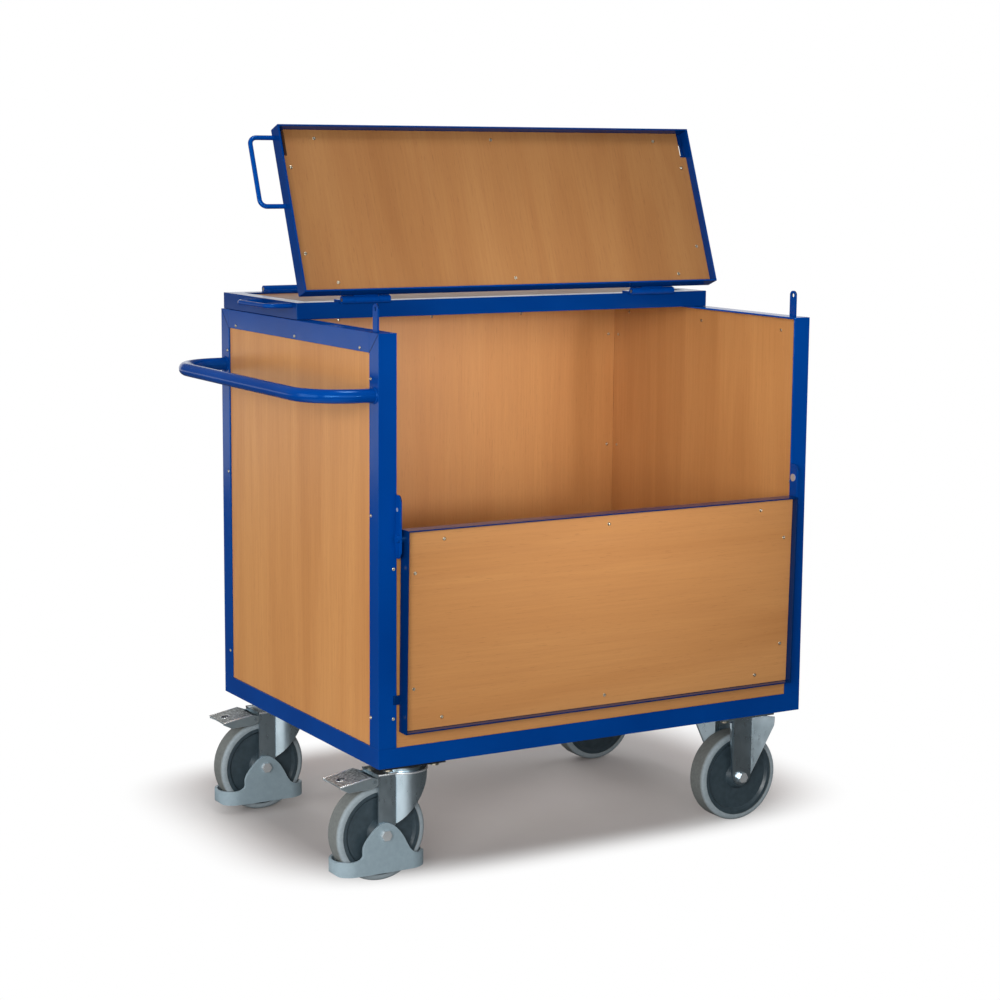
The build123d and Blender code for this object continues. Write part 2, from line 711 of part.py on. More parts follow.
# Swivel castors: fork, foot guard, axle and brake pedal
web_y = fork_in + fork_t / 2
crease_x = -sqrt((cup_r - fork_t) ** 2 - fork_in**2)
web_back = -castor_trail - fork_foot
foot_r = fork_web / 2
arm_out = fork_out + guard_t
for hand, side_y in (("front", -1), ("rear", 1)):
    castor_at = Location((swivel_x, body_y + side_y * castor_y, 0))
    castor_plane = Plane(castor_at)
    foot_at = within(castor_at, Plane.XY.offset(wheel_r - fork_web / 2))
    crown_at = within(castor_at, Plane.XY.offset(crown_low))
    side_at = within(castor_at, Plane.XZ)
    outline_at = within(castor_at, Plane.XZ.offset(-2 * cup_r))
    with BuildPart(castor_plane) as fork:
        with BuildSketch(foot_at):
            Circle(cup_r)
            Circle(cup_r - fork_t, mode=Mode.SUBTRACT)
            with Locations((crease_x - cup_r, 0)):
                Rectangle(2 * cup_r, 2 * cup_r, mode=Mode.SUBTRACT)
            for leg in (-1, 1):
                with Locations(((web_back + crease_x) / 2, leg * web_y)):
                    Rectangle(crease_x - web_back + 1, fork_t)
        extrude(amount=crown_top - wheel_r + fork_web / 2)
        with BuildSketch(outline_at):
            with BuildLine():
                foot_start = (foot_r - castor_trail, wheel_r)
                foot_end = (web_back, wheel_r)
                cup_end = (cup_r, crown_top - cup_lip)
                Polyline(foot_end, (web_back, crown_top), (cup_r, crown_top), cup_end)
                cup_start = (crease_x, wheel_r + cup_clear)
                SagittaArc(cup_end, cup_start, cup_sag)
                Line(cup_start, foot_start)
                ThreePointArc(foot_start, (-castor_trail, wheel_r - foot_r), foot_end)
            make_face()
        extrude(amount=4 * cup_r, mode=Mode.INTERSECT)
        with BuildSketch(crown_at):
            Circle(cup_r)
            with Locations((web_back / 2, 0)):
                Rectangle(-web_back, 2 * fork_out)
        extrude(amount=crown_t)
        rod("z", (0, 0), (crown_top, race_split - race_gap / 2), race_r)
        king_hole = (crown_low, race_split)
        rod("z", (0, 0), king_hole, king_r + pin_play, Mode.SUBTRACT)
        rod("y", (-castor_trail, wheel_r), (-fork_out, fork_out), axle_r + pin_play, Mode.SUBTRACT)
        for leg in (-1, 1):
            lug_span = (leg * fork_in, leg * fork_out)
            back = -pivot_back - rivet_r - rivet_wall
            block((back, web_back + 1), lug_span, (pivot_high - horn_low, crown_top - horn_top))
            rivet_span = (leg * fork_in, leg * (fork_out + pedal_t + 2 * seat_gap))
            rod("y", (-pivot_back, pivot_high), rivet_span, rivet_r)
    save(fork, f"castor_fork_{hand}_left")

    with BuildPart(castor_plane) as guard:
        ring_at = within(castor_at, Plane.XY.offset(guard_low))
        with BuildSketch(ring_at):
            with Locations((-castor_trail, 0)):
                SlotOverall(2 * guard_half, 2 * arm_out)
                SlotOverall(2 * (guard_half - guard_t), 2 * fork_out, mode=Mode.SUBTRACT)
        extrude(amount=wheel_r + bell_rise - guard_low)
        bell_at = within(castor_at, Plane((-castor_trail, 2 * arm_out, 0), (1, 0, 0), (0, -1, 0)))
        with BuildSketch(bell_at) as bell:
            with BuildLine():
                Polyline(
                    (-bell_foot, guard_top),
                    (-guard_half, guard_top),
                    (-guard_half, guard_low),
                    (guard_half, guard_low),
                    (guard_half, guard_top),
                    (bell_foot, guard_top),
                )
                Spline(
                    (bell_foot, guard_top),
                    (bell_waist, (guard_top + wheel_r) / 2),
                    (bell_shoulder, wheel_r + bell_neck),
                    (0, wheel_r + bell_rise),
                    (-bell_shoulder, wheel_r + bell_neck),
                    (-bell_waist, (guard_top + wheel_r) / 2),
                    (-bell_foot, guard_top),
                    tangents=((-1, 0), (-1, 0)),
                )
            make_face()
            corners = bell.vertices().filter_by(lambda spot: abs(abs(spot.X) - guard_half) < 0.01)
            fillet(corners, guard_round)
        extrude(amount=4 * arm_out, mode=Mode.INTERSECT)
        bore = (-arm_out, arm_out)
        rod("y", (-castor_trail, wheel_r), bore, axle_r + pin_play, Mode.SUBTRACT)
    save(guard, f"foot_guard_{hand}_left")

    with BuildPart(castor_plane) as axle:
        rod("y", (-castor_trail, wheel_r), (-arm_out, arm_out), axle_r)
        head_at = within(castor_at, Plane((-castor_trail, 0, wheel_r), (1, 0, 0), (0, 1, 0)))
        for leg in (-1, 1):
            with BuildSketch(head_at.offset(leg * arm_out)):
                RegularPolygon(axle_head_r, 6)
            extrude(amount=leg * axle_head_t)
    save(axle, f"castor_axle_{hand}_left")

    with BuildPart(castor_plane) as pedal:
        skirt_in = fork_out + seat_gap
        skirt_out = skirt_in + pedal_t
        root_z = crown_top - pedal_drop
        tip_z = root_z - (pedal_tip - pedal_root) * sin(radians(pedal_slope))
        with BuildSketch(side_at):
            with BuildLine():
                Polyline(
                    (-pedal_root, root_z),
                    (-pedal_tip, tip_z),
                    (-pedal_tip, tip_z - pedal_t),
                    (-pedal_root, root_z - pedal_t),
                    close=True,
                )
            make_face()
        extrude(amount=skirt_out, both=True)
        for leg in (-1, 1):
            skirt_at = within(castor_at, Plane.XZ.offset(skirt_in if leg < 0 else -skirt_out))
            with BuildSketch(skirt_at):
                with BuildLine():
                    Polyline(
                        (cheek_end - pivot_back, pivot_high - cheek_end),
                        (cheek_end - pivot_back, pivot_high + cheek_up),
                        (-pedal_root, root_z),
                        (-pedal_tip, tip_z),
                        (-pedal_tip, tip_z - pedal_t - tip_lip),
                        (pedal_nose - pedal_tip, skirt_low),
                        (-pedal_root, skirt_low + skirt_rise),
                        close=True,
                    )
                make_face()
            extrude(amount=pedal_t)
        bore = (-skirt_out, skirt_out)
        rod("y", (-pivot_back, pivot_high), bore, rivet_r + pin_play, Mode.SUBTRACT)
        rod("z", (pedal_nose - pedal_tip, 0), (skirt_low, crown_top), pedal_hole_r, Mode.SUBTRACT)
    save(pedal, f"brake_pedal_{hand}_left")

# Fixed castor forks: plate with two legs whose edges flare outwards
leg_mid = fork_in + fork_t / 2
with BuildPart() as fixed_forks:
    for side_y in (-1, 1):
        fork_at = Location((fixed_x, body_y + side_y * castor_y, 0))
        leg_at = within(fork_at, Plane.XY.offset(wheel_r - foot_r))
        with BuildSketch(leg_at):
            for leg in (-1, 1):
                with BuildLine():
                    Polyline(
                        (-fixed_web / 2 - wing_along, leg * (leg_mid + wing_out)),
                        (-fixed_web / 2, leg * leg_mid),
                        (fixed_web / 2, leg * leg_mid),
                        (fixed_web / 2 + wing_along, leg * (leg_mid + wing_out)),
                    )
                trace(line_width=fork_t)
        extrude(amount=plate_low - wheel_r + foot_r)
    wing_x = fixed_web / 2 + wing_along + fork_t
    taper_at = within(Location((fixed_x, 0, 0)), Plane.XZ.offset(-body_width))
    with BuildSketch(taper_at):
        with BuildLine():
            Polyline(
                (-fixed_foot, wheel_r),
                (-wing_x, plate_low),
                (wing_x, plate_low),
                (fixed_foot, wheel_r),
            )
            ThreePointArc((fixed_foot, wheel_r), (0, wheel_r - foot_r), (-fixed_foot, wheel_r))
        make_face()
    extrude(amount=2 * body_width, mode=Mode.INTERSECT)
    for side_y in (-1, 1):
        middle = (fixed_x, body_y + side_y * castor_y)
        along = (fixed_x - plate_length / 2, fixed_x + plate_length / 2)
        across = (middle[1] - plate_width / 2, middle[1] + plate_width / 2)
        block(along, across, (plate_low, castor_height))
        for bolt_x, bolt_y in bolt_spots:
            spot = (middle[0] + bolt_x, middle[1] + bolt_y)
            rod("z", spot, (plate_low, castor_height), plate_bolt_r + screw_play, Mode.SUBTRACT)
        bore = (middle[1] - fork_out, middle[1] + fork_out)
        rod("y", (fixed_x, wheel_r), bore, axle_r + pin_play, Mode.SUBTRACT)
save(fixed_forks, "fixed_castor_forks")

with BuildPart() as fixed_axles:
    for side_y in (-1, 1):
        middle_y = body_y + side_y * castor_y
        rod("y", (fixed_x, wheel_r), (middle_y - fork_out, middle_y + fork_out), axle_r)
        head_at = Plane((fixed_x, middle_y, wheel_r), (1, 0, 0), (0, 1, 0))
        for leg in (-1, 1):
            with BuildSketch(head_at.offset(leg * fork_out)):
                RegularPolygon(axle_head_r, 6)
            extrude(amount=leg * axle_head_t)
save(fixed_axles, "fixed_castor_axles")

# Wheels: tyre, hub and bearing turning on each axle
hub_half = fork_in - hinge_play
hub_rim_in = tyre_in - hub_rim_t
rim_half = tyre_width / 2 - hub_side_in
web_half = rim_half - hub_dish
wheel_places = {
    "front_left": (swivel_x - castor_trail, -1),
    "rear_left": (swivel_x - castor_trail, 1),
    "front_right": (fixed_x, -1),
    "rear_right": (fixed_x, 1),
}
for name, (wheel_x, side_y) in wheel_places.items():
    wheel_at = Location((wheel_x, body_y + side_y * castor_y, wheel_r))
    section_at = within(wheel_at, Plane.YZ)
    spin = Axis(section_at.origin, section_at.x_dir)
    with BuildPart() as tyre:
        with BuildSketch(section_at) as tyre_section:
            with Locations((0, wheel_r - tyre_t / 2)):
                Rectangle(tyre_width, tyre_t)
            fillet(tyre_section.vertices().group_by(Axis.Y)[-1], tyre_round)
        revolve(axis=spin)
    save(tyre, f"tyre_{name}")

    with BuildPart() as hub:
        with BuildSketch(section_at):
            with BuildLine():
                rim_top = tyre_in - pin_play
                bore_low = bearing_r + pin_play
                Polyline(
                    (-hub_half, bore_low),
                    (hub_half, bore_low),
                    (hub_half, core_r),
                    (web_half, core_r + core_slope),
                    (web_half, hub_rim_in - hub_dish),
                    (rim_half, hub_rim_in),
                    (rim_half, rim_top),
                    (-rim_half, rim_top),
                    (-rim_half, hub_rim_in),
                    (-web_half, hub_rim_in - hub_dish),
                    (-web_half, core_r + core_slope),
                    (-hub_half, core_r),
                    close=True,
                )
            make_face()
        revolve(axis=spin)
    save(hub, f"hub_{name}")

    with BuildPart() as bearing:
        with BuildSketch(section_at):
            with Locations((0, (bearing_r + axle_r + pin_play) / 2)):
                Rectangle(2 * hub_half, bearing_r - axle_r - pin_play)
        revolve(axis=spin)
    save(bearing, f"bearing_{name}")
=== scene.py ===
import json
import math

import bmesh
import bpy
import numpy
from mathutils import Matrix, Vector

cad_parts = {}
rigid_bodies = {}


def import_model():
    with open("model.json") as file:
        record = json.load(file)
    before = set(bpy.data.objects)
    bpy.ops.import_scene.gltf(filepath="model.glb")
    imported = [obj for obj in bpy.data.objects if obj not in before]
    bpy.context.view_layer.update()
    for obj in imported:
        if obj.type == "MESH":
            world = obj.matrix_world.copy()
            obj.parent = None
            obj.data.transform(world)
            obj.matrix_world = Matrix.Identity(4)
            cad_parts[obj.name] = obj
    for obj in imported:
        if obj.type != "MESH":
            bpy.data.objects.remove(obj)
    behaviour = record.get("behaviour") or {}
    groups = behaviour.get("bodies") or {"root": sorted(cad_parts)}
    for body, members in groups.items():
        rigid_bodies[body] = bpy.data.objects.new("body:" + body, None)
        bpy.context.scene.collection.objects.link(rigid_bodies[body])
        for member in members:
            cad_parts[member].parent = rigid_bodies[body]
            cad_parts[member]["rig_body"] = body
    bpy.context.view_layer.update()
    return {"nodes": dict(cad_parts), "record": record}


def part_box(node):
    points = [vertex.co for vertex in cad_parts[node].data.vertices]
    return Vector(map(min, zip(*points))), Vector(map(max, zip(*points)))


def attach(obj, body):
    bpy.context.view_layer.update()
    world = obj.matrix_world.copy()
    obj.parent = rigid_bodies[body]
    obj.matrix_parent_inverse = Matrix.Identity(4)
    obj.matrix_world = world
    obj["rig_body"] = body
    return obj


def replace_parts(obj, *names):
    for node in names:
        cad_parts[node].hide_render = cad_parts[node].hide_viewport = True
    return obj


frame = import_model()
nodes = frame["nodes"]
scene = bpy.context.scene


# Shader building blocks

def linear(red, green, blue):
    """An sRGB colour out of 255 as linear RGBA."""
    def one(value):
        value = value / 255
        return value / 12.92 if value <= 0.04045 else ((value + 0.055) / 1.055) ** 2.4
    return (one(red), one(green), one(blue), 1.0)


class Shade:
    """A material's node tree with short calls for the nodes that the finishes share."""

    def __init__(self, name):
        self.material = bpy.data.materials.new(name)
        self.material.use_nodes = True
        self.tree = self.material.node_tree
        self.shader = self.tree.nodes["Principled BSDF"]
        self.places = self.tree.nodes.new("ShaderNodeTexCoord")
        self.spot = self.places.outputs["Object"]

    def lean(self, angle):
        """Turn the pattern about the X axis, for a board that stands at an angle."""
        turn = self.tree.nodes.new("ShaderNodeVectorRotate")
        turn.rotation_type = "X_AXIS"
        turn.inputs["Angle"].default_value = angle
        self.link(self.spot, turn.inputs["Vector"])
        self.spot = turn.outputs["Vector"]

    def link(self, source, target):
        self.tree.links.new(source, target)

    def noise(self, scale, detail=3.0, roughness=0.5, distortion=0.0):
        """Scale is one number, or one for each axis."""
        mapping = self.tree.nodes.new("ShaderNodeMapping")
        scales = scale if hasattr(scale, "__len__") else (scale, scale, scale)
        mapping.inputs["Scale"].default_value = scales
        self.link(self.spot, mapping.inputs["Vector"])
        texture = self.tree.nodes.new("ShaderNodeTexNoise")
        texture.inputs["Scale"].default_value = 1.0
        texture.inputs["Detail"].default_value = detail
        texture.inputs["Roughness"].default_value = roughness
        texture.inputs["Distortion"].default_value = distortion
        self.link(mapping.outputs["Vector"], texture.inputs["Vector"])
        return texture.outputs["Fac"]

    def ramp(self, source, *stops):
        """Stops are (place, grey or colour)."""
        node = self.tree.nodes.new("ShaderNodeValToRGB")
        band = node.color_ramp
        while len(band.elements) < len(stops):
            band.elements.new(0.5)
        for element, (place, value) in zip(band.elements, stops):
            element.position = place
            element.color = value if hasattr(value, "__len__") else (value, value, value, 1.0)
        self.link(source, node.inputs["Fac"])
        return node.outputs["Color"]

    def mix(self, factor, first, second):
        """First and second are sockets or colours."""
        node = self.tree.nodes.new("ShaderNodeMix")
        node.data_type = "RGBA"
        factor_input, first_input, second_input, colour_output = 0, 6, 7, 2
        for value, place in ((factor, factor_input), (first, first_input), (second, second_input)):
            if isinstance(value, bpy.types.NodeSocket):
                self.link(value, node.inputs[place])
            else:
                node.inputs[place].default_value = value
        return node.outputs[colour_output]

    def maths(self, operation, first, second=None):
        node = self.tree.nodes.new("ShaderNodeMath")
        node.operation = operation
        for value, target in ((first, node.inputs[0]), (second, node.inputs[1])):
            if isinstance(value, bpy.types.NodeSocket):
                self.link(value, target)
            elif value is not None:
                target.default_value = value
        return node.outputs[0]

    def edges(self, radius):
        """One on edges and corners, nought on flat faces."""
        sharp_below, flat_above = 0.80, 0.985
        bevel = self.tree.nodes.new("ShaderNodeBevel")
        bevel.samples = 4
        bevel.inputs["Radius"].default_value = radius
        plain = self.tree.nodes.new("ShaderNodeNewGeometry")
        dot = self.tree.nodes.new("ShaderNodeVectorMath")
        dot.operation = "DOT_PRODUCT"
        self.link(bevel.outputs["Normal"], dot.inputs[0])
        self.link(plain.outputs["Normal"], dot.inputs[1])
        return self.ramp(dot.outputs["Value"], (sharp_below, 1.0), (flat_above, 0.0))

    def facing(self, axis):
        """How far a face looks along one of the part's axes, either way."""
        split = self.tree.nodes.new("ShaderNodeSeparateXYZ")
        self.link(self.places.outputs["Normal"], split.inputs["Vector"])
        return self.maths("ABSOLUTE", split.outputs[axis])

    def bump(self, height, distance, strength=1.0, under=None):
        node = self.tree.nodes.new("ShaderNodeBump")
        node.inputs["Distance"].default_value = distance
        node.inputs["Strength"].default_value = strength
        self.link(height, node.inputs["Height"])
        if under is not None:
            self.link(under, node.inputs["Normal"])
        return node.outputs["Normal"]

    def finish(self, colour, roughness, normal, metallic=0.0, specular=0.5):
        self.link(colour, self.shader.inputs["Base Color"])
        self.link(roughness, self.shader.inputs["Roughness"])
        self.link(normal, self.shader.inputs["Normal"])
        self.shader.inputs["Metallic"].default_value = metallic
        self.shader.inputs["Specular IOR Level"].default_value = specular
        return self.material

    def glow(self, strength):
        node = self.tree.nodes.new("ShaderNodeEmission")
        node.inputs["Strength"].default_value = strength
        return node.outputs["Emission"]

    def ray(self, kind):
        return self.tree.nodes.new("ShaderNodeLightPath").outputs[kind]

    def choose(self, factor, otherwise, chosen):
        """One surface where the factor is nought and another where it is one."""
        node = self.tree.nodes.new("ShaderNodeMixShader")
        self.link(factor, node.inputs["Fac"])
        self.link(otherwise, node.inputs[1])
        self.link(chosen, node.inputs[2])
        return node.outputs["Shader"]

    def surface(self, source):
        self.link(source, self.tree.nodes["Material Output"].inputs["Surface"])


# Finishes

def powder_coat(name, dark, light):
    """Sprayed and baked paint: slightly dusty, paler in chips along the edges, partly wear and partly a
    painted highlight, with a cool sheen.
    """
    dusty, wear_and_highlight_tone, sheen = linear(30, 86, 158), linear(60, 108, 176), linear(110, 195, 255)
    dust_strength, wear_strength = 0.10, 0.22
    shade = Shade(name)
    cloud = shade.noise(5, 3)
    tone = shade.ramp(cloud, (0.3, linear(*dark)), (0.7, linear(*light)))
    dust = shade.noise((38, 38, 90), 5, 0.65)
    tone = shade.mix(shade.ramp(dust, (0.62, 0.0), (0.85, dust_strength)), tone, dusty)
    # Paler chips along the edges: partly wear, partly a painted edge highlight
    chips = shade.ramp(shade.noise(120, 4, 0.6), (0.50, 0.0), (0.66, 1.0))
    worn = shade.maths("MULTIPLY", shade.edges(0.0016), chips)
    tone = shade.mix(shade.maths("MULTIPLY", worn, wear_strength), tone, wear_and_highlight_tone)
    gloss = shade.ramp(shade.noise(22, 4), (0.25, 0.14), (0.75, 0.21))
    peel = shade.bump(shade.noise(420, 2), 0.00010, 0.25)
    sag = shade.bump(shade.noise(16, 2), 0.0005, 0.20, peel)
    shade.shader.inputs["Specular Tint"].default_value = sheen
    return shade.finish(tone, gloss, sag, 0.0, 0.3)


def beech_board(name, grain, depth=0, lean=0.0):
    """Beech decor board: grain is the axis along which the fibres run, depth darkens the whole board."""
    def along(run, cross):
        return tuple(run if axis == grain else cross for axis in "XYZ")

    def shade_of(red, green, blue):
        return linear(red - depth, green - 0.75 * depth, blue - 0.5 * depth)

    dark, middling, light = shade_of(186, 127, 72), shade_of(197, 138, 81), shade_of(207, 149, 90)
    fibre_tone, fleck_tone = shade_of(173, 113, 63), shade_of(146, 92, 52)
    worn_tone = shade_of(208, 164, 116)
    fibre_strength, fleck_strength, wear_strength = 0.30, 0.30, 0.30
    shade = Shade(name)
    shade.lean(lean)
    broad = shade.noise(along(0.9, 9), 4, 0.55, 0.6)
    tone = shade.ramp(broad, (0.28, dark), (0.5, middling), (0.74, light))
    fibre = shade.noise(along(5, 210), 4, 0.6)
    tone = shade.mix(shade.ramp(fibre, (0.35, 0.0), (0.75, fibre_strength)), tone, fibre_tone)
    flecks = shade.ramp(shade.noise(along(34, 620), 2, 0.5), (0.62, 0.0), (0.72, fleck_strength))
    tone = shade.mix(flecks, tone, fleck_tone)
    worn = shade.edges(0.0015)
    tone = shade.mix(shade.maths("MULTIPLY", worn, wear_strength), tone, worn_tone)
    gloss = shade.ramp(fibre, (0.3, 0.32), (0.75, 0.42))
    pores = shade.bump(fibre, 0.00008, 0.4)
    return shade.finish(tone, gloss, pores)


def zinc_plate(name, light, dark, rough, stained=0.05, metallic=1.0):
    """Zinc-plated steel with faint stains and bright edges, a painted highlight."""
    stain_tone, bright = linear(112, 106, 94), linear(236, 238, 240)
    edge_highlight_strength = 0.5
    shade = Shade(name)
    cloud = shade.noise(16, 3, 0.5)
    tone = shade.ramp(cloud, (0.3, linear(*dark)), (0.7, linear(*light)))
    stain = shade.ramp(shade.noise(46, 5, 0.65), (0.52, 0.0), (0.70, stained))
    tone = shade.mix(stain, tone, stain_tone)
    # Bright edges are a painted highlight
    tone = shade.mix(shade.maths("MULTIPLY", shade.edges(0.0010), edge_highlight_strength), tone, bright)
    haze = shade.noise((120, 120, 40), 3)
    gloss = shade.ramp(haze, (0.25, rough - 0.05), (0.75, rough + 0.06))
    drawn = shade.bump(shade.noise((900, 900, 120), 2), 0.00003, 0.3)
    dents = shade.bump(shade.noise(30, 2), 0.0004, 0.12, drawn)
    return shade.finish(tone, gloss, dents, metallic)


def worn_pedal():
    """Zinc sheet whose trodden top is scuffed to a speckled grey, with a painted highlight along its
    edges.
    """
    scuffed, dull, bare = linear(88, 92, 90), linear(152, 157, 154), linear(214, 219, 218)
    bright = linear(240, 242, 244)
    edge_highlight_strength = 0.8
    shade = Shade("pedal_zinc")
    cloud = shade.noise(16, 3, 0.5)
    sheet = shade.ramp(cloud, (0.3, linear(122, 134, 139)), (0.7, linear(142, 153, 157)))
    speckle = shade.noise(210, 5, 0.7)
    trodden = shade.ramp(speckle, (0.36, scuffed), (0.50, dull), (0.64, bare))
    top = shade.ramp(shade.facing("Z"), (0.75, 0.0), (0.9, 1.0))
    tone = shade.mix(top, sheet, trodden)
    # Bright edges are a painted highlight
    tone = shade.mix(shade.maths("MULTIPLY", shade.edges(0.0016), edge_highlight_strength), tone, bright)
    gloss = shade.ramp(speckle, (0.3, 0.34), (0.7, 0.52))
    dents = shade.bump(speckle, 0.0005, 0.4)
    return shade.finish(tone, gloss, dents, 0.55)


def rubber():
    """Grey tyre rubber: paler flanks, a darker tread and scuffs."""
    scuff_tone = linear(96, 90, 84)
    scuff_strength = 0.25
    shade = Shade("grey_rubber")
    speck = shade.noise(160, 4, 0.6)
    side = shade.ramp(speck, (0.3, linear(132, 144, 150)), (0.7, linear(146, 157, 163)))
    tread = shade.ramp(speck, (0.3, linear(99, 103, 102)), (0.7, linear(118, 122, 120)))
    flank = shade.ramp(shade.facing("Y"), (0.15, 0.0), (0.75, 1.0))
    tone = shade.mix(flank, tread, side)
    scuff = shade.ramp(shade.noise(26, 5, 0.7), (0.58, 0.0), (0.8, scuff_strength))
    tone = shade.mix(scuff, tone, scuff_tone)
    dull = shade.ramp(speck, (0.3, 0.62), (0.7, 0.82))
    skin = shade.bump(shade.noise(700, 3), 0.0002, 0.35)
    return shade.finish(tone, dull, skin, 0.0, 0.35)


def plastic(name, light, dark, rough):
    """Moulded plastic with a fine grain and paler edges, a painted highlight."""
    edge_gain, edge_strength = 34, 0.5
    shade = Shade(name)
    speck = shade.noise(90, 4, 0.6)
    tone = shade.ramp(speck, (0.3, linear(*dark)), (0.7, linear(*light)))
    # Paler edges are a painted highlight
    edge_highlight_tone = [min(255, value + edge_gain) for value in light]
    tone = shade.mix(shade.maths("MULTIPLY", shade.edges(0.0012), edge_strength), tone, linear(*edge_highlight_tone))
    gloss = shade.ramp(shade.noise(40, 4), (0.3, rough - 0.06), (0.7, rough + 0.10))
    grain = shade.bump(shade.noise(1100, 2), 0.0001, 0.35)
    return shade.finish(tone, gloss, grain)


paint = powder_coat("blue_powder_coat", (0, 54, 128), (0, 61, 139))
# A darker copy of the blue paint: painted shade on the lid frames
shaded_paint = powder_coat("shaded_powder_coat", (0, 44, 108), (0, 50, 118))
# A still darker copy of the blue paint: painted shade on the flap frame
flap_shaded_paint = powder_coat("flap_shaded_powder_coat", (0, 31, 78), (0, 37, 88))
# The darkest copy of the blue paint: painted shade in the mitre grooves
seam_shaded_paint = powder_coat("seam_shaded_powder_coat", (0, 22, 62), (0, 30, 76))
beech_long = beech_board("beech_decor_long", "X", 10)
beech_tall = beech_board("beech_decor_tall", "Z")
beech_flat_lid = beech_board("beech_decor_flat_lid", "Y", 44)
beech_open_lid = beech_board("beech_decor_open_lid", "Z", 50, math.radians(21.1))
zinc = zinc_plate("castor_zinc", (197, 213, 222), (174, 192, 201), 0.30)
# A paler zinc that partly paints the highlight on rolled lips, axles and catches
pale_highlight_zinc = zinc_plate("pale_highlight_zinc", (232, 236, 238), (214, 220, 223), 0.22, 0.05, 0.7)
# A dark zinc: painted shade on the swivel heads and in the pedal eyes
shaded_race_zinc = zinc_plate("shaded_race_zinc", (74, 78, 82), (48, 51, 55), 0.40, 0.3)
pedal_zinc = worn_pedal()
screw_zinc = zinc_plate("screw_zinc", (206, 197, 176), (172, 162, 142), 0.28)
steel = zinc_plate("bearing_steel", (178, 180, 184), (140, 143, 148), 0.24)
tyre_grey = rubber()
hub_dark = plastic("hub_plastic", (55, 69, 77), (44, 57, 64), 0.36)
guard_pale = plastic("guard_plastic", (138, 156, 165), (130, 148, 157), 0.46)

finish_of = {
    "frame_paint": paint,
    "panel_wood": beech_long,
    "castor_zinc": zinc,
    "fastener_zinc": screw_zinc,
    "bearing_steel": steel,
    "tyre_rubber": tyre_grey,
    "hub_plastic": hub_dark,
    "guard_plastic": guard_pale,
}
own_finish_of = {
    "left_panel": beech_tall,
    "right_panel": beech_tall,
    "rear_panel": beech_tall,
    "front_lid_panel": beech_open_lid,
    "rear_lid_panel": beech_flat_lid,
    # Painted shade: darker paint on the lid frames
    "front_lid_frame": shaded_paint,
    "rear_lid_frame": shaded_paint,
    # Painted shade: still darker paint on the flap frame
    "flap_frame": flap_shaded_paint,
    "flap_pivot_bolts": paint,
    # The catches' pale zinc partly paints their highlight
    "flap_catches": pale_highlight_zinc,
    # Painted shade: dark zinc on the swivel heads
    "swivel_heads": shaded_race_zinc,
}


# The CAD pieces with their finishes and eased edges

slot_of = {entry["node"]: entry["material_slot"] for entry in frame["record"]["subparts"]}

edge_radius = {
    "frame_paint": 0.0008,
    "panel_wood": 0.0005,
    "castor_zinc": 0.0009,
    "guard_plastic": 0.0024,
}
shortest_edge = {"guard_plastic": 0.0, "castor_zinc": 0.003}
usual_shortest_edge = 0.008
flat_angle = math.radians(0.5)
sharp_angle = math.radians(35)
same_point = 0.00001
flat_face_weight = 80
kept_edges = (
    "push_handle", "front_lid_handle", "rear_lid_handle",
    "front_lid_hinge_leaves", "rear_lid_hinge_leaves", "rear_hinge_leaves", "swivel_heads",
    "fixed_castor_forks", "castor_fork_front_left", "castor_fork_rear_left",
)


def look_of(name):
    if name.startswith("brake_pedal"):
        return pedal_zinc
    # Axles take the pale zinc that partly paints their highlight
    if "axle" in name:
        return pale_highlight_zinc
    return own_finish_of.get(name, finish_of[slot_of[name]])


def put(mesh, name, body, look):
    """A new piece from a bmesh, smooth shaded with its large faces kept flat."""
    data = bpy.data.meshes.new(name)
    mesh.to_mesh(data)
    mesh.free()
    data.shade_smooth()
    data.materials.append(look)
    piece = bpy.data.objects.new(name, data)
    scene.collection.objects.link(piece)
    even = piece.modifiers.new("flat_faces", "WEIGHTED_NORMAL")
    even.weight = flat_face_weight
    even.keep_sharp = False
    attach(piece, body)
    return piece


def eased(name, radius, shortest):
    """A CAD piece again with its long edges rounded off."""
    mesh = bmesh.new()
    mesh.from_mesh(nodes[name].data)
    bmesh.ops.remove_doubles(mesh, verts=mesh.verts, dist=same_point)
    bmesh.ops.dissolve_limit(mesh, angle_limit=flat_angle, verts=mesh.verts, edges=mesh.edges)
    sharp = [
        edge for edge in mesh.edges
        if edge.is_manifold and edge.calc_face_angle() > sharp_angle and edge.calc_length() > shortest
    ]
    bmesh.ops.bevel(
        mesh, geom=sharp, offset=radius, offset_type="OFFSET", segments=2, profile=0.5,
        affect="EDGES", clamp_overlap=True,
    )
    return put(mesh, name + "_eased", nodes[name]["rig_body"], look_of(name))


for name, piece in list(nodes.items()):
    slot = slot_of[name]
    piece.data.materials.clear()
    piece.data.materials.append(look_of(name))
    if slot in edge_radius and name not in kept_edges:
        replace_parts(eased(name, edge_radius[slot], shortest_edge.get(slot, usual_shortest_edge)), name)


# Rings of points

def around(k, count):
    """Cosine and sine of one of so many equal steps round a circle."""
    angle = 2 * math.pi * k / count
    return math.cos(angle), math.sin(angle)


def join_rings(mesh, pairs, sides):
    """Faces between pairs of rings."""
    for first, second in pairs:
        for k in range(sides):
            after = (k + 1) % sides
            mesh.faces.new((first[k], first[after], second[after], second[k]))


# Screws again with domed heads and a cross recess

